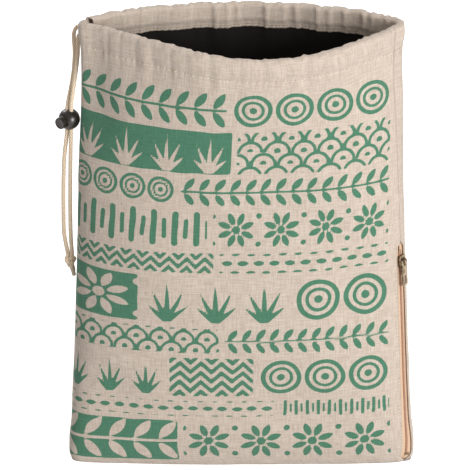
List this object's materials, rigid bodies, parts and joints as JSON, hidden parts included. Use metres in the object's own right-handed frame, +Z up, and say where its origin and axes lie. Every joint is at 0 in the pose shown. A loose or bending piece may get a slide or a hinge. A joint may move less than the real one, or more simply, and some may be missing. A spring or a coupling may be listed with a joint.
{
  "type": "drawstring produce bag",
  "caption": "Lined cloth bag for keeping vegetables, with a drawcord and ball cord lock at the mouth and a zip low in one side seam to let them out.",
  "frame": {"origin": "centre of the bag's bounding box on the surface it stands on, without the free cord ends", "axes": "+Z up to the mouth, the printed front faces -Y, +X towards the side seam with the zip"},
  "size_m": [0.288, 0.1085, 0.384],
  "materials": {
    "canvas": "plain-woven cream cotton canvas, matte",
    "lining": "black woven lining, matte",
    "zip_tape": "tan woven zip tape, matte",
    "zip_coil": "dull reddish-brown coil",
    "zip_brass": "aged brass, worn satin",
    "cord": "tan braided cotton cord, matte",
    "lock_plastic": "black plastic, satin"
  },
  "bodies": {
    "bag": {"front_panel": "canvas", "back_panel": "canvas", "lining": "lining", "zip_coil_front": "zip_coil", "zip_coil_back": "zip_coil", "zip_tape_front": "zip_tape", "zip_tape_back": "zip_tape", "zip_stop_bottom": "zip_brass", "zip_slider": "zip_brass", "drawcord": "cord", "drawcord_front_end": "cord", "drawcord_back_end": "cord", "cord_lock_body": "lock_plastic", "cord_knot": "cord"},
    "puller": {"zip_puller": "zip_brass"},
    "plunger": {"cord_lock_plunger": "lock_plastic"}
  },
  "joints": [
    {"name": "zip_puller_swing", "type": "hinge", "parent": "bag", "child": "puller", "pos_m": [0.13045, -0.01177, 0.18118], "axis": [-0.5815, -0.8133, -0.0189], "range_deg": [0, 170]},
    {"name": "cord_lock_press", "type": "slide", "parent": "bag", "child": "plunger", "axis": [0.6428, 0.766, 0], "range_m": [0, 0.0026], "stiffness_N_per_m": 300, "springref_m": -0.004}
  ]
}
